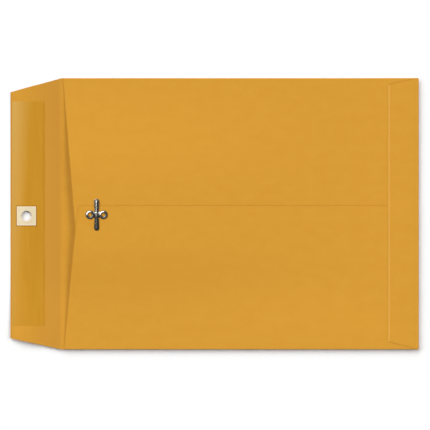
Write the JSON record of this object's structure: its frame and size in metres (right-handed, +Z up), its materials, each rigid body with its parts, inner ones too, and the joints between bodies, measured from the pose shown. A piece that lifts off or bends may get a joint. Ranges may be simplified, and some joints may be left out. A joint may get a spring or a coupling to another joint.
{
  "type": "clasp envelope",
  "caption": "Kraft paper clasp envelope lying open: centre-seam pocket, glued bottom flap, gummed seal flap with a patched hole, and a tinplate clasp whose prongs bend up through that hole.",
  "frame": {"origin": "middle of the front (address) panel's outer face, the face that the envelope lies on", "axes": "+X along the length towards the bottom fold, with the seal flap at -X; +Y across the width; +Z up, out of the back panels"},
  "size_m": [0.3629, 0.2414, 0.0068],
  "materials": {
    "kraft_paper": "uncoated golden kraft paper",
    "dried_glue": "dried adhesive",
    "flap_gum": "dried gum film, satin",
    "tag_stock": "uncoated manila tag stock",
    "tinplate": "bright tinned steel"
  },
  "bodies": {
    "envelope": {"front_panel": "kraft_paper", "under_side_panel": "kraft_paper", "under_shoulder": "kraft_paper", "under_side_fold": "kraft_paper", "over_side_panel": "kraft_paper", "over_shoulder": "kraft_paper", "over_side_fold": "kraft_paper", "seam_glue": "dried_glue", "bottom_fold": "kraft_paper", "bottom_flap": "kraft_paper", "bottom_glue": "dried_glue", "clasp_base": "tinplate"},
    "flap": {"seal_flap": "kraft_paper", "flap_gum": "flap_gum", "hole_patch": "tag_stock"},
    "prong_up": {"upper_prong": "tinplate"},
    "prong_down": {"lower_prong": "tinplate"}
  },
  "joints": [
    {"name": "flap_fold", "type": "hinge", "parent": "envelope", "child": "flap", "pos_m": [-0.15875, 0, 0.00299], "axis": [0, 1, 0], "range_deg": [0, 174]},
    {"name": "upper_prong_bend", "type": "hinge", "parent": "envelope", "child": "prong_up", "pos_m": [-0.1274, 0.0003, 0.00632], "axis": [1, 0, 0], "range_deg": [0, 90]},
    {"name": "lower_prong_bend", "type": "hinge", "parent": "envelope", "child": "prong_down", "pos_m": [-0.1274, -0.0021, 0.00632], "axis": [-1, 0, 0], "range_deg": [0, 90]}
  ]
}
